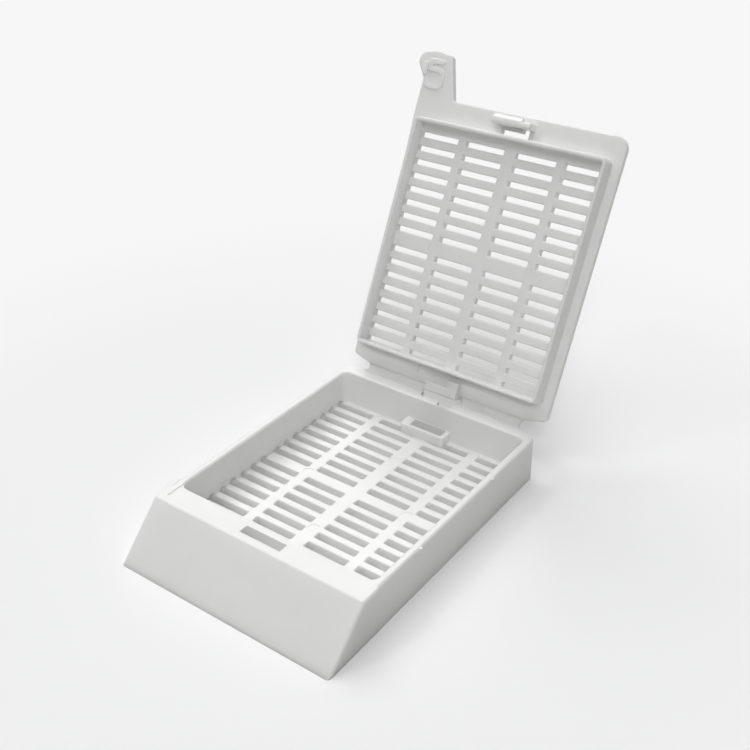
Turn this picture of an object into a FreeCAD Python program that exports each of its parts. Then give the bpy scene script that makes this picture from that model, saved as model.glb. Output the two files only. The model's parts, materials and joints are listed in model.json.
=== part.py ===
"""Tissue cassette: one white acetal moulding, a slotted tray with a slotted lid on a living hinge.

Frame: X across the tray, Y from the sloping writing face to the hinge, +Z up, with the
origin in the middle of the tray's underside.  The pieces are drawn with Y = 0 at the foot
of the writing face and moved to that origin at the end.  The lid is drawn lying flat with
its hinge axis on X and its inner face up, then turned to the angle at which it rests open.
"""
import FreeCAD, Part
import math
import os

from FreeCAD import Vector

# ---- tray: overall sizes in millimetres
tray_length = 40.8
tray_width = 28.5
tray_height = 5.75
tray_draft = 0.1            # each side leans in by this much from bottom to top
rear_corner_across = 2.8    # the rear corners are cut back by a shallow diagonal
rear_corner_along = 0.95
rear_corner_radius = 0.7
rim_radius = 0.28

# ---- tray: the head, which carries the sloping writing face
slope_run = 5.8
slope_edge_radius = 0.4
head_length = 8.8
head_seam = 8.3             # the head's flatter sides end here
head_flare = 0.15           # the head is this much wider than the body at the rim, each side
body_inset = 0.03           # the body is this much narrower than the head at the foot
head_shell = 1.1
hollow_radius = 0.3
lip_depth = 0.92            # flat strip behind the slope's top edge
ledge_step = 0.12           # the ledge lies this much below that strip
latch_pocket_width = 5.5
latch_pocket_length = 1.3
latch_pocket_depth = 2.4
latch_pocket_radius = 0.12
latch_pocket_wall = 0.7     # round the pocket, inside the hollow head

# ---- tray: the well that holds the tissue
side_wall = 0.9
rear_wall = 1.75
floor_thickness = 1.5
well_side_draft = 0.2
well_front_draft = 0.2
well_rear_draft = 0.5
well_corner_radius = 0.9

# ---- tray: floor slots
slot_rows = 16
tray_slot_width = 0.95
slot_centre_bar = 1.87
slot_side_bar = 1.32
slot_middle_extra = 0.705   # the rib in the middle of the length is this much wider
slot_front_gap = 0.05
slot_rear_gap = 0.72
slot_bite = 0.3             # the outer slots run this far under the side walls
slot_bite_height = 0.62
slot_lip_radius = 0.14
slot_corner_radius = 0.16
bite_crown_share = 0.6      # how round the top of each bite is

# ---- tray: boss and notch in the rear wall
boss_width = 6.4
boss_length = 1.65
boss_height = 1.3
boss_radius = 0.45
boss_edge_radius = 0.15
boss_hole_width = 4.6
boss_hole_length = 1.4
boss_hole_shift = 0.35
boss_hole_radius = 0.1
boss_hole_recess = 0.08     # the hole runs this far into the rear wall
notch_clearance = 0.2       # round the rear hook as it swings into its notch

# ---- hinge and lid
hinge_overhang = 0.81       # the axis lies this far behind the rear wall
hinge_drop = 0.085          # and this far below the shut lid's inner face
lid_datum = 0.115           # the lid is measured from a line this far from the axis
closing_gap = 0.05          # between the tray's rim and the closed lid
open_angle = 115.97         # from closed to the angle at which the lid rests
plate_thickness = 0.95
plate_front_gap = 0.495     # shut, the free edge lies this far behind the slope's top edge
plate_root = 0.3            # from the lid's datum line to the plate's hinge edge
plate_root_corner = 0.75    # how much further the hinge corners are cut back
plate_corner_radius = 1.5
plate_edge_radius = 0.2
skirt_height = 2.2
skirt_side_clearance = 0.08
skirt_rear_clearance = 0.24
skirt_front_clearance = 0.08
skirt_root = 0.45
skirt_rim = 0.43
skirt_side_draft = 0.08
skirt_end_draft = 0.05
skirt_corner_radius = 0.75
skirt_inner_radius = 0.2
skirt_rim_radius = 0.18
lid_slot_width = 0.68
lid_centre_bar = 1.58
lid_side_bar = 1.1
lid_slot_front_gap = 1.14
lid_slot_rear_gap = 0.09
lid_slot_middle_extra = 0.873
lid_slot_bite = 0.12
lid_slot_bite_height = 0.5
lid_slot_lip_radius = 0.17
lid_slot_corner_radius = 0.1

# ---- hinge webs
web_thickness = 0.35
web_end_inset = 0.15        # from the cut-back corner to the web's outer end
web_hook_clearance = 0.4    # from the rear hook to the web's inner end
web_bend_radius = 0.6
web_plate_gap = 0.05        # the web meets the plate's edge this far inside its inner face

# ---- rear hook and the shallow recess under it
rear_hook_left = -2.05
rear_hook_right = 2.35
rear_hook_tongue = 1.45     # width of the part of the hook that reaches furthest
rear_hook_height = 1.2
rear_hook_foot = -0.15      # the stem starts this far from the lid's datum line
rear_hook_stem = 0.6
rear_hook_under_share = 0.4     # the catch starts at this share of the height
rear_hook_radius = 0.15
bar_reach = 1.05
tongue_reach = 1.95
recess_left = -4.3
recess_right = 1.0
recess_start = 0.88
recess_radius = 0.7
recess_depth = 0.25

# ---- front latch
latch_clearance = 0.15
latch_height = 1.9
latch_stem = 0.75
latch_top_radius = 0.3
latch_barb = 0.35
latch_barb_share = 0.75     # the barb runs along this share of the latch
latch_barb_low = 0.5        # the barb starts, and stands out from one to the other of the next
latch_barb_from = 0.62      # two, at these shares of the latch's height
latch_barb_to = 0.75
latch_barb_radius = 0.1
latch_hole_width = 3.8
latch_hole_length = 0.65
latch_hole_gap = 0.12       # from the skirt to the hole
latch_hole_step = 0.5
latch_hole_step_width = 1.0

# ---- finger tab, which is level with the plate
tab_flare_start = 11.2      # the plate's left edge starts to widen this far before its end
tab_flare_end = 3.2
tab_offset = 0.43           # the tab stands this far outside the plate's left edge
tab_flare_radius = 6.0
tab_root_width = 5.18
tab_root_radius = 0.3
tab_length = 5.72
tab_tip_right = 1.78        # the right edge leans in by this much up to the tip
tab_tip_drop = 0.35         # the tip's right corner lies this far below its crown
tab_tip_radius = 0.6
tab_crown = 1.1             # from the tab's left edge to its crown
tab_crown_radius = 3.0
tab_ear = 1.25              # the tip bulges this far out to the left
tab_ear_radius = 1.2
tab_ear_drop = 0.5
tab_ear_length = 2.6
tab_neck = 2.1              # from the free edge to the neck under the bulge
tab_neck_radius = 0.6

# ---- the number on the tab
digit_height = 3.75
digit_width = 2.9
digit_stroke = 0.62
digit_top_width = 2.55
digit_stem = 0.3            # the stem and the top bar start this far in
digit_bowl_share = 0.73
digit_end_height = 1.35
digit_radius = 0.28
digit_bowl_radius = 1.04
digit_relief = 0.27
digit_edge_radius = 0.12
digit_inset = 0.23          # from the tab's left edge
digit_foot = 0.9            # from the free edge
one_left = -0.5
one_width = 0.78
one_foot = 1.6
one_height = 1.75

# ---- small marks
mark_radius = 0.7
mark_depth = 0.07
mark_spacing = 7.8
gate_ear = 0.8
gate_ear_height = 2.6
gate_ear_front = 2.9
gate_ear_rear = 1.05
gate_ear_radius = 0.08
mark_sink = 0.05            # how far the marks on the walls run into them
nib_places = (15.7, 30.2)
nib_half_length = 0.3
nib_reach = 0.3
nib_radius = 0.1
nib_top = 0.08
nib_foot = 0.6
vent_across = 11.68         # small ring by the lid's free right corner
vent_back = 1.72
vent_radius = 0.4
vent_width = 0.13
corner_step_across = 12.3   # the corner beyond the ring lies slightly lower
corner_step_back = 2.2
corner_step_depth = 0.07

# ---- modelling allowances
beyond = 1.0                # tools run this far past the surface that they cut
touch = 1e-3

# ---- places worked out from the sizes above
half_bottom = tray_width / 2
half_top = half_bottom - tray_draft
lip_end = slope_run + lip_depth
well_half_top = half_top - side_wall
well_half_floor = well_half_top - well_side_draft
well_front_top = head_length
well_front_floor = head_length + well_front_draft
well_rear_top = tray_length - rear_wall
well_rear_floor = well_rear_top - well_rear_draft
well_depth = tray_height - floor_thickness
hinge_y = tray_length + hinge_overhang
hinge_z = tray_height + closing_gap - hinge_drop
shut_datum = hinge_y - lid_datum    # where the lid's datum line lies when it is shut
lid_tilt = 180.0 - open_angle
plate_half = half_bottom
plate_end = shut_datum - slope_run - plate_front_gap
skirt_half = well_half_top - skirt_side_clearance
rim_well_rear = well_rear_top - well_rear_draft * skirt_height / well_depth
skirt_v_start_root = shut_datum - well_rear_top + skirt_rear_clearance
skirt_v_start_rim = shut_datum - rim_well_rear + skirt_rear_clearance
skirt_v_end = shut_datum - well_front_floor - skirt_front_clearance
web_reach = half_bottom - rear_corner_across - web_end_inset


def corner_wire(corners, z):
    """Closed wire at height z through (x, y, radius) corners, each rounded by its radius."""
    points = [Vector(x, y, z) for x, y, _ in corners]
    runs = []
    for index, (_, _, radius) in enumerate(corners):
        point = points[index]
        before = (points[index - 1] - point).normalize()
        after = (points[(index + 1) % len(points)] - point).normalize()
        half_angle = before.getAngle(after) / 2
        if radius <= 0 or half_angle > math.pi / 2 - touch:
            runs.append((point, None, point))
            continue
        setback = radius / math.tan(half_angle)
        towards_centre = (before + after).normalize()
        middle = point + towards_centre * (radius / math.sin(half_angle) - radius)
        runs.append((point + before * setback, middle, point + after * setback))
    edges = []
    for index, (start, middle, end) in enumerate(runs):
        if middle is not None:
            edges.append(Part.Arc(start, middle, end).toShape())
        following = runs[(index + 1) % len(runs)][0]
        if end.distanceToPoint(following) > touch:
            edges.append(Part.LineSegment(end, following).toShape())
    return Part.Wire(edges)


def loft(lower, z_low, upper, z_high):
    """Straight-sided solid between two outlines with the same corners."""
    return Part.makeLoft([corner_wire(lower, z_low), corner_wire(upper, z_high)], True, True)


def prism(corners, z_low, z_high):
    """Upright solid on one outline."""
    face = Part.Face(corner_wire(corners, z_low))
    return face.extrude(Vector(0, 0, z_high - z_low))


def section(corners, x_low, x_high):
    """Solid with the (y, z, radius) section, running across X."""
    solid = prism(corners, 0, x_high - x_low)
    turn = FreeCAD.Matrix(0, 0, 1, x_low, 1, 0, 0, 0, 0, 1, 0, 0)
    solid.Placement = FreeCAD.Placement(turn)
    return solid


def box(x_low, x_high, y_low, y_high, z_low, z_high):
    return Part.makeBox(x_high - x_low, y_high - y_low, z_high - z_low, Vector(x_low, y_low, z_low))


def rectangle(half, y_low, y_high, radius):
    """Corners of a rectangle that is centred on X = 0."""
    sides = ((-half, y_low), (half, y_low), (half, y_high), (-half, y_high))
    return [(x, y, radius) for x, y in sides]


def rounded(solid, radius, wanted):
    """Round the edges that wanted(box of the edge) picks."""
    edges = [edge for edge in solid.Edges if wanted(edge.BoundBox)]
    return solid.makeFillet(radius, edges) if edges else solid


def on_level(bounds, z):
    """Whether an edge's box lies level at height z or above."""
    return bounds.ZMin > z - touch


def slot_cutter(length, width, depth, top, lip_radius, corner_radius):
    """Tool for one slot that starts at X = 0, Y = 0, with a flared upper edge at Z = top."""
    corners = [(0, 0, corner_radius), (length, 0, corner_radius),
               (length, width, corner_radius), (0, width, corner_radius)]
    straight = prism(corners, top - depth, top)
    block = box(-beyond, length + beyond, -beyond, width + beyond, top - depth, top)
    margin = beyond / 2

    def at_lip(bounds):
        within = bounds.XMin > -margin and bounds.XMax < length + margin
        return on_level(bounds, top) and within and bounds.YMin > -margin and bounds.YMax < width + margin

    flared = rounded(block.cut(straight), lip_radius, at_lip)
    return block.cut(flared)


def slot_spans(half, centre_bar, side_bar):
    """Start and end across X of the four columns of slots."""
    length = (half - centre_bar / 2 - side_bar) / 2
    inner = (centre_bar / 2, centre_bar / 2 + length)
    outer = (half - length, half)
    return [(-outer[1], -outer[0]), (-inner[1], -inner[0]), inner, outer]


def slot_starts(first, last, width, extra):
    """Start along Y of each row, with the wider rib in the middle."""
    pitch = (last - first - width - extra) / (slot_rows - 1)
    half_count = slot_rows // 2
    return [first + pitch * row + (extra if row >= half_count else 0) for row in range(slot_rows)]


def slot_tools(half, starts, width, depth, top, lip, corner, bars, bite_height):
    """All the slot cutters, and the pointed bites that the outer ones take from the walls."""
    tools = []
    spans = slot_spans(half, *bars)
    for index, (x_low, x_high) in enumerate(spans):
        cutter = slot_cutter(x_high - x_low, width, depth, top, lip, corner)
        outermost = index in (0, len(spans) - 1)
        for start in starts:
            tools.append(cutter.translated(Vector(x_low, start, 0)))
            if outermost:
                tools.append(wall_bite(x_low, x_high, start, width, top, bite_height))
    return tools


def wall_bite(x_low, x_high, start, width, top, height):
    """Round-topped notch at the foot of a side wall, at the outer end of a slot."""
    crown = width / 2
    end_low, end_high = (x_low, x_low + beyond) if x_low < 0 else (x_high - beyond, x_high)
    outline = [(start, top - beyond / 2, 0), (start + width, top - beyond / 2, 0),
               (start + width, top + height - crown, 0),
               (start + crown, top + height, crown * bite_crown_share),
               (start, top + height - crown, 0)]
    return section(outline, end_low, end_high)


def head_envelope():
    """The head before it is hollowed: a wedge whose sides flare out to the tray's sides."""
    lower = rectangle(half_bottom, 0, head_seam, 0)
    upper = rectangle(half_top + head_flare, 0, head_seam, 0)
    block = loft(lower, 0, upper, tray_height)
    in_front = [(-beyond, 0, 0), (0, 0, 0), (slope_run, tray_height, 0),
                (slope_run, tray_height + beyond, 0), (-beyond, tray_height + beyond, 0)]
    head = block.cut(section(in_front, -half_bottom - beyond, half_bottom + beyond))

    def on_slope(bounds):
        side = bounds.ZLength > tray_height / 2 and bounds.YLength > slope_run / 2
        return side or on_level(bounds, tray_height) and bounds.YMax < slope_run + touch

    def along_rim(bounds):
        runs_back = bounds.YMax > head_seam - touch and bounds.YLength > beyond
        return on_level(bounds, tray_height) and runs_back

    return rounded(rounded(head, slope_edge_radius, on_slope), rim_radius, along_rim)


def body_envelope():
    """The tray behind the head, with its cut-back rear corners."""

    def outline(half):
        rear_half = half - rear_corner_across
        corner_y = tray_length - rear_corner_along
        right = [(half, head_seam, 0), (half, corner_y, rear_corner_radius),
                 (rear_half, tray_length, rear_corner_radius)]
        return right + [(-x, y, radius) for x, y, radius in reversed(right)]

    block = loft(outline(half_bottom - body_inset), 0, outline(half_top), tray_height)
    return rounded(block, rim_radius, lambda b: on_level(b, tray_height) and b.YMax > head_length)


def well():
    """The space for the tissue, wider at the rim than at the floor."""
    lower = rectangle(well_half_floor, well_front_floor, well_rear_floor, well_corner_radius)
    upper = rectangle(well_half_top, well_front_top, well_rear_top, well_corner_radius)
    return loft(lower, floor_thickness, upper, tray_height)


def head_hollow():
    """The open-bottomed space under the writing face, round the walls of the latch pocket."""
    slope = slope_run / tray_height
    skin_along = head_shell * math.hypot(slope, 1)
    ceiling = tray_height - ledge_step - head_shell
    rear = lip_end + latch_pocket_length
    outline = [(skin_along - slope * beyond, -beyond, 0),
               (skin_along + ceiling * slope, ceiling, hollow_radius),
               (rear, ceiling, hollow_radius), (rear, -beyond, 0)]
    half = half_top - head_shell
    pocket_half = latch_pocket_width / 2 + latch_pocket_wall
    housing = box(-pocket_half, pocket_half, lip_end - latch_pocket_wall, rear + beyond,
                  tray_height - latch_pocket_depth - latch_pocket_wall, tray_height)
    return section(outline, -half, half).cut(housing)


def latch_pocket():
    """Blind pocket in the ledge that takes the lid's front latch."""
    half = latch_pocket_width / 2
    outline = rectangle(half, lip_end, lip_end + latch_pocket_length, latch_pocket_radius)
    return prism(outline, tray_height - latch_pocket_depth, tray_height + beyond)


def boss():
    """Raised pad against the rear wall, with its corners rounded."""
    front = well_rear_floor - boss_length
    half = boss_width / 2
    outline = [(-half, front, boss_radius), (half, front, boss_radius),
               (half, well_rear_top, 0), (-half, well_rear_top, 0)]
    top = floor_thickness + boss_height
    pad = prism(outline, 0, top)
    return rounded(pad, boss_edge_radius,
                   lambda b: on_level(b, top) and b.YMin < well_rear_top - touch)


def boss_hole():
    """Upright hole through the boss and the floor, let slightly into the rear wall."""
    low = boss_hole_shift - boss_hole_width / 2
    high = low + boss_hole_width
    rear = well_rear_floor + boss_hole_recess
    front = rear - boss_hole_length
    corners = [(low, front, boss_hole_radius), (high, front, boss_hole_radius),
               (high, rear, boss_hole_radius), (low, rear, boss_hole_radius)]
    return prism(corners, -beyond, floor_thickness + boss_height + touch)


def swing(hook_reach):
    """Radius that a corner of the rear hook sweeps about the hinge axis."""
    return math.hypot(hook_reach + lid_datum, rear_hook_height - hinge_drop)


def hook_notch():
    """Stepped pocket outside the rear wall, clear of the whole swing of the lid's rear hook."""
    low = rear_hook_left - notch_clearance
    high = rear_hook_right + notch_clearance
    bar_y = hinge_y - swing(bar_reach) - notch_clearance / 2
    tongue_y = hinge_y - swing(tongue_reach) - notch_clearance / 2
    tongue_low = rear_hook_right - rear_hook_tongue - notch_clearance
    outside = tray_length + beyond
    floor = hinge_z - swing(bar_reach) - notch_clearance
    bar = box(low, high, bar_y, outside, floor, tray_height + beyond)
    tongue = box(tongue_low, high, tongue_y, outside, floor, tray_height + beyond)
    return bar.fuse(tongue)


def side_marks():
    """Gate vestige on the left of the head and two nibs on the right wall."""
    side = half_top - mark_sink
    ear = [(-side, head_length + gate_ear_rear, 0), (-side - gate_ear, head_length, gate_ear_radius),
           (-side, head_length - gate_ear_front, 0)]
    marks = [prism(ear, tray_height - gate_ear_height, tray_height - mark_sink)]
    for y in nib_places:
        nib = [(side, y - nib_half_length, 0), (side + nib_reach, y, nib_radius),
               (side, y + nib_half_length, 0)]
        marks.append(prism(nib, tray_height - nib_foot, tray_height - nib_top))
    return marks


def ejector_marks(side_bar, middle, spacing, top):
    """Faint round marks: two on the side bars of the middle rib and two on the centre bar."""
    places = [(-side_bar, middle), (side_bar, middle), (0, middle - spacing), (0, middle + spacing)]
    return [Part.makeCylinder(mark_radius, beyond, Vector(x, y, top - mark_depth)) for x, y in places]


def side_bar_middle(half, centre_bar, side_bar):
    """Where the bar between the inner and outer columns of slots lies across X."""
    _, _, inner, outer = slot_spans(half, centre_bar, side_bar)
    return (inner[1] + outer[0]) / 2


def middle_rib(starts, width):
    """Where the wide rib between the two halves of the rows lies along Y."""
    before, after = starts[slot_rows // 2 - 1:slot_rows // 2 + 1]
    return (before + width + after) / 2


def tray_shell():
    """The tray before its slots: head and body, hollowed by the well, with rounded rims."""
    body = head_envelope().fuse(body_envelope()).removeSplitter()
    body = body.cut(well())

    def round_well(bounds):
        across = max(abs(bounds.XMin), abs(bounds.XMax)) < well_half_top + mark_sink
        along = bounds.YMin > head_length - mark_sink and bounds.YMax < well_rear_top + mark_sink
        return on_level(bounds, tray_height) and across and along

    body = rounded(body, rim_radius, round_well)
    ledge = box(-well_half_top, well_half_top, lip_end, head_length + beyond,
                tray_height - ledge_step, tray_height + beyond)
    return body.cut(ledge)


def cassette_base():
    body = tray_shell()
    starts = slot_starts(well_front_floor + slot_front_gap, well_rear_floor - slot_rear_gap,
                         tray_slot_width, slot_middle_extra)
    bars = (slot_centre_bar, slot_side_bar)
    half = well_half_floor + slot_bite
    cuts = slot_tools(half, starts, tray_slot_width, floor_thickness + beyond, floor_thickness,
                      slot_lip_radius, slot_corner_radius, bars, slot_bite_height)
    cuts += ejector_marks(side_bar_middle(half, *bars), middle_rib(starts, tray_slot_width),
                          mark_spacing, floor_thickness)
    cuts += [head_hollow(), latch_pocket(), hook_notch()]
    body = body.cut(cuts)
    body = body.fuse([boss()] + side_marks()).removeSplitter()
    return body.cut(boss_hole())


def tab_outline():
    """The finger tab's edge, from the plate's free edge round the tip to the plate's left edge."""
    left = -plate_half - tab_offset
    right = left + tab_root_width
    tip = plate_end + tab_length
    return [(right, plate_end, tab_root_radius),
            (right - tab_tip_right, tip - tab_tip_drop, tab_tip_radius),
            (left + tab_crown, tip, tab_crown_radius),
            (left - tab_ear, tip - tab_ear_drop, tab_ear_radius),
            (left - tab_ear, tip - tab_ear_drop - tab_ear_length / 2, tab_neck_radius),
            (left, plate_end + tab_neck, tab_neck_radius),
            (left, plate_end - tab_flare_end, tab_flare_radius),
            (-plate_half, plate_end - tab_flare_start, tab_flare_radius)]


def plate():
    """The lid's flat plate and finger tab, with hinge-end corners cut back like the tray's."""
    corner = plate_root + plate_root_corner
    root = [(-web_reach, plate_root, rear_corner_radius), (web_reach, plate_root, rear_corner_radius),
            (plate_half, corner, rear_corner_radius), (plate_half, plate_end, plate_corner_radius)]
    outline = root + tab_outline() + [(-plate_half, corner, rear_corner_radius)]
    slab = prism(outline, -plate_thickness, 0)
    slab = rounded(slab, plate_edge_radius,
                   lambda b: b.ZLength < touch and b.YMax > plate_root + plate_root_corner / 2)
    return slab.cut(corner_marks())


def corner_marks():
    """Small ring by the lid's free right corner, and the slightly lower corner beside it."""
    centre = Vector(vent_across, plate_end - vent_back, -mark_depth)
    ring = Part.makeCylinder(vent_radius, beyond, centre)
    ring = ring.cut(Part.makeCylinder(vent_radius - vent_width, beyond, centre))
    step = box(corner_step_across, plate_half + beyond, plate_end - corner_step_back,
               plate_end + beyond, -corner_step_depth, beyond)
    return [ring, step]


def skirt():
    """Low wall round the lid's plate that fits inside the tray's rim."""
    v_end_root = skirt_v_end + skirt_end_draft
    outer_root = rectangle(skirt_half, skirt_v_start_root, v_end_root, skirt_corner_radius)
    outer_rim = rectangle(skirt_half - skirt_side_draft, skirt_v_start_rim, skirt_v_end,
                          skirt_corner_radius)
    inner_root = rectangle(skirt_half - skirt_root, skirt_v_start_root + skirt_root,
                           v_end_root - skirt_root, skirt_inner_radius)
    inner_rim = rectangle(skirt_half - skirt_side_draft - skirt_rim, skirt_v_start_rim + skirt_rim,
                          skirt_v_end - skirt_rim, skirt_inner_radius)
    wall = loft(outer_root, 0, outer_rim, skirt_height).cut(loft(inner_root, 0, inner_rim, skirt_height))
    return rounded(wall, skirt_rim_radius, lambda b: on_level(b, skirt_height))


def rear_hook():
    """Hook in the gap between the webs: a bar on the left and a deeper tongue on the right."""
    foot = rear_hook_foot
    top = rear_hook_height
    stem_end = foot + rear_hook_stem
    low = -plate_thickness + mark_sink
    root_end = plate_root + plate_root_corner / 2
    stem = [(foot, low, 0), (root_end, low, 0), (root_end, 0, 0), (stem_end, 0, 0),
            (stem_end, top - rear_hook_radius, 0), (foot, top, rear_hook_radius)]

    def catch(reach):
        start = foot + rear_hook_radius
        under = top * rear_hook_under_share
        return [(start, under, 0), (reach, under, rear_hook_radius / 2),
                (reach, top, rear_hook_radius), (start, top, 0)]

    tongue_start = rear_hook_right - rear_hook_tongue
    pieces = [section(catch(bar_reach), rear_hook_left, rear_hook_right),
              section(catch(tongue_reach), tongue_start, rear_hook_right)]
    return section(stem, rear_hook_left, rear_hook_right).fuse(pieces).removeSplitter()


def hook_recess():
    """Shallow recess in the plate under the rear hook's overhang, up to the skirt."""
    outline = [(recess_left, recess_start, recess_radius), (recess_right, recess_start, recess_radius),
               (recess_right, skirt_v_start_root, 0), (recess_left, skirt_v_start_root, 0)]
    return prism(outline, -recess_depth, beyond)


def latch():
    """Front latch that drops into the pocket of the tray's ledge."""
    half = latch_pocket_width / 2 - latch_clearance
    rear = shut_datum - lip_end - latch_pocket_length + latch_clearance
    front = rear + latch_stem
    out = front + latch_barb
    top = latch_height
    stem = [(rear, -plate_thickness / 2, 0), (front, -plate_thickness / 2, 0),
            (front, top, latch_top_radius), (rear, top, latch_top_radius)]
    barb = [(front - latch_barb_radius, top * latch_barb_low, 0),
            (out, top * latch_barb_from, latch_barb_radius),
            (out, top * latch_barb_to, latch_barb_radius), (front - latch_barb_radius, top, 0)]
    barb_end = -half + 2 * half * latch_barb_share
    return section(stem, -half, half).fuse(section(barb, -half, barb_end)).removeSplitter()


def latch_hole():
    """L-shaped hole beside the latch that lets the mould form the barb."""
    half = latch_hole_width / 2
    start = skirt_v_end + latch_hole_gap
    end = start + latch_hole_length
    below = -plate_thickness - beyond
    low = box(-half, half, start, end, below, beyond)
    high = box(half - latch_hole_step_width, half, start, end + latch_hole_step, below, beyond)
    return low.fuse(high).removeSplitter()


def five(x, y):
    """Outline of a 5 whose lower left corner is at (x, y)."""
    height, width, stroke, radius = digit_height, digit_width, digit_stroke, digit_radius
    shoulder = height * digit_bowl_share
    inner = digit_bowl_radius - stroke
    stem_end = digit_stem + stroke
    points = [(digit_stem, height, radius), (digit_top_width, height, radius),
              (digit_top_width, height - stroke, radius), (stem_end, height - stroke, radius / 2),
              (stem_end, shoulder, radius / 2), (width, shoulder, digit_bowl_radius),
              (width, 0, digit_bowl_radius), (0, 0, digit_bowl_radius),
              (0, digit_end_height, radius), (stroke, digit_end_height, radius),
              (stroke, stroke, inner), (width - stroke, stroke, inner),
              (width - stroke, shoulder - stroke, inner), (digit_stem, shoulder - stroke, radius)]
    return [(x + across, y + up, turn) for across, up, turn in reversed(points)]


def tab_digits():
    """The plain number 15, raised on the tab with soft edges."""
    x = -plate_half - tab_offset + digit_inset
    y = plate_end + digit_foot
    one_x = x + one_left
    one_y = y + one_foot
    one = [(one_x, one_y, digit_radius), (one_x + one_width, one_y, digit_radius),
           (one_x + one_width, one_y + one_height, digit_radius),
           (one_x, one_y + one_height, digit_radius)]
    glyphs = [prism(outline, -digit_relief, digit_relief) for outline in (one, five(x, y))]
    return [rounded(glyph, digit_edge_radius, lambda b: on_level(b, digit_relief))
            for glyph in glyphs]


def place_lid(shape):
    """Turn a piece of the flat lid to the resting angle and carry it to the hinge axis."""
    shape.translate(Vector(0, lid_datum, -hinge_drop))
    shape.rotate(Vector(0, 0, 0), Vector(1, 0, 0), lid_tilt)
    shape.translate(Vector(0, hinge_y, hinge_z))
    return shape


def cassette_lid():
    first = skirt_v_start_root + skirt_root + lid_slot_rear_gap
    last = skirt_v_end - skirt_root - lid_slot_front_gap
    starts = slot_starts(first, last, lid_slot_width, lid_slot_middle_extra)
    bars = (lid_centre_bar, lid_side_bar)
    half = skirt_half - skirt_root + lid_slot_bite
    cuts = slot_tools(half, starts, lid_slot_width, plate_thickness + beyond, 0, lid_slot_lip_radius,
                      lid_slot_corner_radius, bars, lid_slot_bite_height)
    cuts += ejector_marks(side_bar_middle(half, *bars), middle_rib(starts, lid_slot_width),
                          mark_spacing, 0)
    lid = plate().fuse([skirt()] + tab_digits()).cut(cuts + [latch_hole(), hook_recess()])
    lid = lid.fuse([rear_hook(), latch()]).removeSplitter()
    return place_lid(lid)


def hinge_web(x_low, x_high):
    """Living hinge web, from the top of the rear wall round to the lid's plate."""
    tilt = math.radians(lid_tilt)
    along = Vector(0, math.cos(tilt), math.sin(tilt))
    inward = Vector(0, -math.sin(tilt), math.cos(tilt))
    half = web_thickness / 2
    end = Vector(0, hinge_y, hinge_z)
    end += along * (lid_datum + plate_root) - inward * (hinge_drop + half + web_plate_gap)
    bend = web_bend_radius
    level = end.z - bend * (1 - math.cos(tilt))
    bend_start = end.y - bend * math.sin(tilt)

    def on_bend(offset, turn):
        radius = bend - offset
        return Vector(0, bend_start + radius * math.sin(turn), level + bend - radius * math.cos(turn))

    outer = [on_bend(-half, turn) for turn in (0, tilt / 2, tilt)]
    inner = [on_bend(half, turn) for turn in (tilt, tilt / 2, 0)]
    wall_low = Vector(0, tray_length, level - half)
    wall_high = Vector(0, tray_length, level + half)
    edges = [Part.LineSegment(wall_low, outer[0]).toShape(), Part.Arc(*outer).toShape(),
             Part.LineSegment(outer[2], inner[0]).toShape(), Part.Arc(*inner).toShape(),
             Part.LineSegment(inner[2], wall_high).toShape(),
             Part.LineSegment(wall_high, wall_low).toShape()]
    web = Part.Face(Part.Wire(edges)).extrude(Vector(x_high - x_low, 0, 0))
    web.translate(Vector(x_low, 0, 0))
    return web


def export(name, shape):
    shape.translate(Vector(0, -tray_length / 2, 0))
    solids = shape.Solids
    result = solids[0] if len(solids) == 1 else Part.makeCompound(solids)
    result.exportStep("parts/" + name + ".step")
    print(name, len(solids), "solid(s)", "valid", result.isValid(), "volume %.2f" % result.Volume)


os.makedirs("parts", exist_ok=True)
export("cassette_base", cassette_base())
export("cassette_lid", cassette_lid())
export("hinge_web_left", hinge_web(-web_reach, rear_hook_left - web_hook_clearance))
export("hinge_web_right", hinge_web(rear_hook_right + web_hook_clearance, web_reach))
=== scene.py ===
"""Looks of a white acetal tissue cassette that stands open on a white table."""
import json
import math

import bmesh
import bpy
from mathutils import Matrix, Vector


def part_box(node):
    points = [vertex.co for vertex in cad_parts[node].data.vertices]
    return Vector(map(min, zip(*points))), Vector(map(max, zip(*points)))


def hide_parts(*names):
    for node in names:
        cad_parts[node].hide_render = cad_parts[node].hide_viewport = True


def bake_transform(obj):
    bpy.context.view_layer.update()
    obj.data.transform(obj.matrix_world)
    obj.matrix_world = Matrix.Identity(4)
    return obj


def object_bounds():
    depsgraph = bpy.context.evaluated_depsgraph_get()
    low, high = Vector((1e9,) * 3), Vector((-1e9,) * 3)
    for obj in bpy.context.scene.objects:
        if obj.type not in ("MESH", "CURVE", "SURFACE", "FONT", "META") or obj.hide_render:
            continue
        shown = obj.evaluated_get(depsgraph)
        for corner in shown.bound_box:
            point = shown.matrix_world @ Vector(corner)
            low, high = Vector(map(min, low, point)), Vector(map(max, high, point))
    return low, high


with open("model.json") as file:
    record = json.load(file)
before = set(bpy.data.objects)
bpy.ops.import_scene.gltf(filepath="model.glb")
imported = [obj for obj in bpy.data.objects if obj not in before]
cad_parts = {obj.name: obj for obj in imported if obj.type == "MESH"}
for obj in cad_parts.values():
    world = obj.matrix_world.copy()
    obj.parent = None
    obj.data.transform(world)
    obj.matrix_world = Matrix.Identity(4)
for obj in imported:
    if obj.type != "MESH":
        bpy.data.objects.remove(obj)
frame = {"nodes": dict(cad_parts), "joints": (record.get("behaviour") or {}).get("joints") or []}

cad_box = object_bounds()
mm = 0.001

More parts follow.
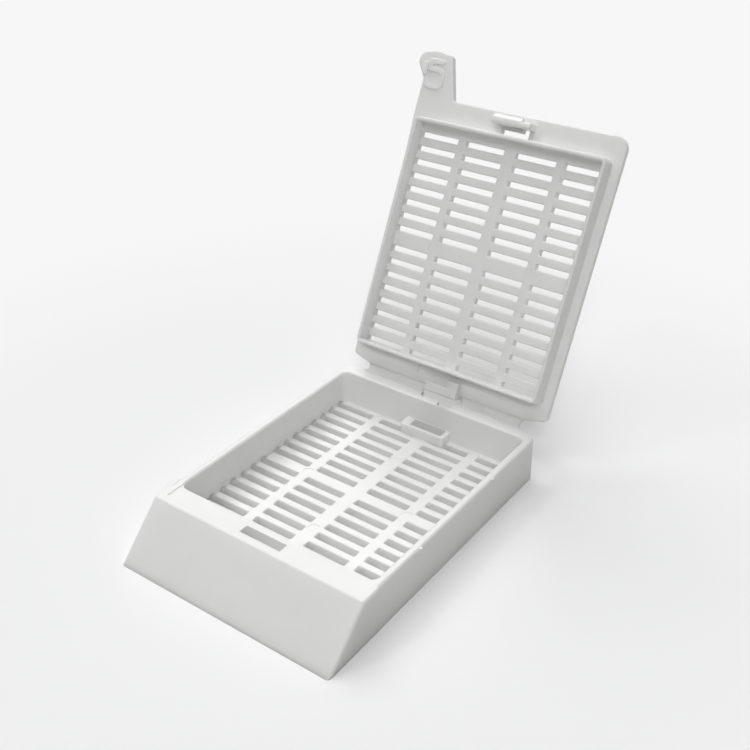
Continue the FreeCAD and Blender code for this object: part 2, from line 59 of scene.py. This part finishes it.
# ---- the camera, as seen from the object
view_azimuth = 36.02        # degrees; 0 looks at the writing face, 90 at the tray's right side
view_elevation = 31.47
view_roll = -0.19
view_distance = 121.95 * mm
view_lens = 51.98
view_clip_start = 5 * mm
aim_from_tray = Vector((-0.187, 7.527, 12.293)) * mm      # from the middle of the tray's box

# ---- living hinge webs
web_rows = 28
web_columns = 40
web_thickness = 0.35 * mm
web_waist = 0.62            # share of the full thickness left in the middle of the bend
web_waist_power = 2         # the higher, the shorter the thinned stretch
web_flare = 0.35 * mm       # the ends of each web spread into the wall and the plate
web_flare_power = 3         # the higher, the closer to the ends
web_sink = 0.12 * mm        # how far each end runs into what it is moulded to
web_pull = 0.42             # how stiffly the strip leaves each end
weld_distance = 1e-7        # points of the strip's thin edges that lie closer are one

# ---- white acetal
acetal_colour = (0.86, 0.86, 0.845)   # linear red, green and blue, as all colours here
acetal_shades = (0.965, 1.02)         # the flow marks are between these shares of that colour
acetal_roughness = (0.26, 0.38)
acetal_gloss = {"IOR": 1.48, "Specular IOR Level": 0.45}
acetal_glow = {"Subsurface Weight": 0.45, "Subsurface Radius": (1.0, 1.0, 1.0),
               "Subsurface Scale": 2.0 * mm}
flow_noise = {"Scale": 260.0, "Detail": 3.0, "Roughness": 0.55}
flow_bump = {"Strength": 0.3, "Distance": 0.05 * mm}
skin_noise = {"Scale": 5200.0, "Detail": 4.0, "Roughness": 0.6}
skin_bump = {"Strength": 0.35, "Distance": 0.006 * mm}

# ---- the table and the backdrop, in metres
table_size = 12.0
table_colour = (0.93, 0.932, 0.932)
table_bounce = (0.65, 0.65, 0.65)     # the colour that light takes from the table
table_finish = {"Roughness": 0.85, "Specular IOR Level": 0.2}
backdrop_colour = (0.93, 0.93, 0.93)
fade_start = 0.03                     # the table starts to fade this far from the tray's middle
fade_end = 0.1                        # and looks like the backdrop from here on

# ---- lamps: name, azimuth and elevation in degrees, size in metres, power in watts
lamp_distance = 1.5
world_strength = 0.03
lamps = (("overhead", 0, 86, 0.8, 6.6),
         ("left back", 225, 52, 0.9, 11.8),
         ("right front", 33, 42, 0.4, 6.8),
         ("left front", 315, 45, 0.3, 1.6))


def corners(node):
    low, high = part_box(node)
    return Vector(low), Vector(high)


def middle(low, high):
    return (Vector(low) + Vector(high)) / 2


def bearing(azimuth, elevation):
    """Unit vector from the object towards a camera or lamp at these angles in degrees."""
    turn, lift = math.radians(azimuth), math.radians(elevation)
    return Vector((math.sin(turn) * math.cos(lift), -math.cos(turn) * math.cos(lift), math.sin(lift)))


def fill(node, values):
    """Sets the inputs of a node by their names."""
    for name, value in values.items():
        node.inputs[name].default_value = value


def new_material(name):
    """A new material, its node tree and its main shader."""
    material = bpy.data.materials.new(name)
    material.use_nodes = True
    tree = material.node_tree
    return material, tree, tree.nodes["Principled BSDF"]


def mix_colours(tree, share, first, second):
    """Socket that goes from the first colour to the second as the share goes from 0 to 1."""
    mix = tree.nodes.new("ShaderNodeMix")
    mix.data_type = "RGBA"
    fill(mix, {"A": tuple(first) + (1.0,), "B": tuple(second) + (1.0,)})
    tree.links.new(share, mix.inputs["Factor"])
    return mix.outputs["Result"]


def combine(tree, operation, first, second):
    """Socket with the sum or product of two sockets, held between 0 and 1."""
    node = tree.nodes.new("ShaderNodeMath")
    node.operation = operation
    node.use_clamp = True
    tree.links.new(first, node.inputs[0])
    tree.links.new(second, node.inputs[1])
    return node.outputs["Value"]


def seen_directly(tree):
    """Socket that is 1 for rays from the camera, a gloss or a clear material, and 0 for stray light."""
    path = tree.nodes.new("ShaderNodeLightPath")
    total = path.outputs["Is Camera Ray"]
    for kind in ("Is Glossy Ray", "Is Transmission Ray"):
        total = combine(tree, "ADD", total, path.outputs[kind])
    return total


def noise(tree, place, values):
    texture = tree.nodes.new("ShaderNodeTexNoise")
    fill(texture, values)
    tree.links.new(place, texture.inputs["Vector"])
    return texture.outputs["Fac"]


def bump(tree, height, values):
    node = tree.nodes.new("ShaderNodeBump")
    fill(node, values)
    tree.links.new(height, node.inputs["Height"])
    return node


def acetal():
    """White moulded acetal: pale, faintly waxy, with a fine matt skin and soft flow marks."""
    material, tree, shader = new_material("white_acetal")
    fill(shader, {**acetal_glow, **acetal_gloss})
    place = tree.nodes.new("ShaderNodeTexCoord").outputs["Object"]
    flow = noise(tree, place, flow_noise)
    skin = noise(tree, place, skin_noise)

    darker, lighter = ([share * c for c in acetal_colour] for share in acetal_shades)
    tree.links.new(mix_colours(tree, flow, darker, lighter), shader.inputs["Base Color"])

    smoothest, roughest = acetal_roughness
    rough = tree.nodes.new("ShaderNodeMapRange")
    fill(rough, {"To Min": smoothest, "To Max": roughest})
    tree.links.new(skin, rough.inputs["Value"])
    tree.links.new(rough.outputs["Result"], shader.inputs["Roughness"])

    coarse = bump(tree, flow, flow_bump)
    fine = bump(tree, skin, skin_bump)
    tree.links.new(coarse.outputs["Normal"], fine.inputs["Normal"])
    tree.links.new(fine.outputs["Normal"], shader.inputs["Normal"])
    return material


def dress(material, *nodes):
    for name in nodes:
        for slot in frame["nodes"][name].material_slots:
            slot.material = material


def along_lid():
    """Unit vector up the resting lid, at right angles to the hinge axis."""
    tilt = math.radians(180 - frame["joints"][0]["range_deg"][1])
    return Vector((0, math.cos(tilt), math.sin(tilt)))


def web_path(node):
    """Bezier control points of a web's middle line, from the rear wall up into the plate."""
    low, high = corners(node)
    along = along_lid()
    half = web_thickness / 2
    start = Vector((0, corners("cassette_base")[1].y - web_sink, low.z + half))
    end = Vector((0, high.y - along.z * half, high.z - along.y * half)) + along * web_sink
    reach = (end - start).length * web_pull
    return start, start + Vector((0, reach, 0)), end - along * reach, end


def bezier(control, t):
    """A point of the curve and the direction in which the curve runs there."""
    a, b, c, d = control
    s = 1 - t
    place = a * s ** 3 + b * (3 * s * s * t) + c * (3 * s * t * t) + d * t ** 3
    slope = (b - a) * (3 * s * s) + (c - b) * (6 * s * t) + (d - c) * (3 * t * t)
    return place, slope.normalized()


def web_row(path, t, x_low, x_high):
    """The points of one cross-section: its upper side, then its lower side."""
    centre, tangent = bezier(path, t)
    normal = Vector((0, -tangent.z, tangent.y))
    waist = (1 - web_waist) * math.sin(math.pi * t) ** web_waist_power
    half = web_thickness / 2 * (1 - waist)
    spread = web_flare * abs(2 * t - 1) ** web_flare_power
    row = []
    for side in (1, -1):
        for column in range(web_columns + 1):
            share = column / web_columns
            edge = min(share, 1 - share) * (x_high - x_low)
            bulge = math.sqrt(max(0.0, 1 - (1 - min(1.0, edge / half)) ** 2))
            x = x_low - spread + share * (x_high - x_low + 2 * spread)
            row.append(Vector((x, centre.y, centre.z)) + normal * (side * half * bulge))
    return row


def web_faces(builder, rows):
    """The strip's upper and lower faces, and those that close its two ends."""
    lower = web_columns + 1
    for here, there in zip(rows, rows[1:]):
        for k in range(web_columns):
            builder.faces.new((here[k], there[k], there[k + 1], here[k + 1]))
            under = lower + k
            builder.faces.new((here[under + 1], there[under + 1], there[under], here[under]))
    for row in (rows[0], rows[-1]):
        for k in range(web_columns):
            builder.faces.new((row[k], row[k + 1], row[lower + k + 1], row[lower + k]))


def web_mesh(node, path):
    low, high = corners(node)
    builder = bmesh.new()
    rows = [[builder.verts.new(point) for point in web_row(path, k / web_rows, low.x, high.x)]
            for k in range(web_rows + 1)]
    web_faces(builder, rows)
    bmesh.ops.remove_doubles(builder, verts=builder.verts, dist=weld_distance)
    bmesh.ops.recalc_face_normals(builder, faces=builder.faces)
    mesh = bpy.data.meshes.new(node + "_strip")
    builder.to_mesh(mesh)
    builder.free()
    for polygon in mesh.polygons:
        polygon.use_smooth = True
    return mesh


def web(node, material):
    """A thin strip that leaves the rear wall level and turns up into the lid's plate."""
    path = web_path(node)
    mesh = web_mesh(node, path)
    mesh.materials.append(material)
    piece = bpy.data.objects.new(node + "_strip", mesh)
    bpy.context.scene.collection.objects.link(piece)
    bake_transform(piece)
    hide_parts(node)


def far_away(tree):
    """Socket that grows from 0 to 1 where the table fades into the backdrop."""
    place = tree.nodes.new("ShaderNodeTexCoord")
    distance = tree.nodes.new("ShaderNodeVectorMath")
    distance.operation = "LENGTH"
    fade = tree.nodes.new("ShaderNodeMapRange")
    fade.interpolation_type = "SMOOTHSTEP"
    fill(fade, {"From Min": fade_start, "From Max": fade_end})
    tree.links.new(place.outputs["Object"], distance.inputs[0])
    tree.links.new(distance.outputs["Value"], fade.inputs["Value"])
    return fade.outputs["Result"]


def table_top():
    """White matt surface that shows as the backdrop far off, and sends back less stray light."""
    material, tree, shader = new_material("table_top")
    fill(shader, table_finish)
    seen = seen_directly(tree)
    colour = mix_colours(tree, seen, table_bounce, table_colour)
    tree.links.new(colour, shader.inputs["Base Color"])

    backdrop = tree.nodes.new("ShaderNodeEmission")
    fill(backdrop, {"Color": backdrop_colour + (1.0,)})
    surface = tree.nodes.new("ShaderNodeMixShader")
    tree.links.new(combine(tree, "MULTIPLY", seen, far_away(tree)), surface.inputs["Fac"])
    tree.links.new(shader.outputs["BSDF"], surface.inputs[1])
    tree.links.new(backdrop.outputs["Emission"], surface.inputs[2])
    tree.links.new(surface.outputs["Shader"], tree.nodes["Material Output"].inputs["Surface"])
    return material


def table():
    """The floor that the tray stands on, which keeps its shadow."""
    bpy.ops.mesh.primitive_plane_add(size=table_size, location=(0, 0, cad_box[0][2]))
    top = bpy.context.object
    top.name = "table_top"
    top.data.materials.append(table_top())


def lamp(name, azimuth, elevation, size, power):
    """Square area lamp that looks at the middle of the object."""
    data = bpy.data.lights.new(name, "AREA")
    data.size = size
    data.energy = power
    body = bpy.data.objects.new(name, data)
    towards = bearing(azimuth, elevation)
    body.location = middle(*cad_box) + towards * lamp_distance
    body.rotation_euler = towards.to_track_quat("Z", "Y").to_euler()
    bpy.context.scene.collection.objects.link(body)


def studio():
    """A dim world that shows as the backdrop where it is seen directly, and the lamps."""
    world = bpy.data.worlds.new("studio")
    bpy.context.scene.world = world
    world.use_nodes = True
    tree = world.node_tree
    background = tree.nodes["Background"]
    fill(background, {"Color": backdrop_colour + (1.0,)})
    strength = tree.nodes.new("ShaderNodeMix")
    fill(strength, {"A": world_strength, "B": 1.0})
    tree.links.new(seen_directly(tree), strength.inputs["Factor"])
    tree.links.new(strength.outputs["Result"], background.inputs["Strength"])
    for row in lamps:
        lamp(*row)


def camera():
    """Looks at the object from the viewer's side, with a slight roll."""
    data = bpy.data.cameras.new("camera")
    data.lens = view_lens
    data.clip_start = view_clip_start
    seer = bpy.data.objects.new("camera", data)
    back = bearing(view_azimuth, view_elevation)
    seer.location = middle(*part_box("cassette_base")) + aim_from_tray + back * view_distance
    roll = Matrix.Rotation(math.radians(view_roll), 3, "Z")
    seer.rotation_euler = (back.to_track_quat("Z", "Y").to_matrix() @ roll).to_euler()
    bpy.context.scene.collection.objects.link(seer)
    bpy.context.scene.camera = seer


plastic = acetal()
dress(plastic, "cassette_base", "cassette_lid")
for side in ("hinge_web_left", "hinge_web_right"):
    web(side, plastic)
table()
studio()
camera()
bpy.context.scene.view_settings.view_transform = "Standard"
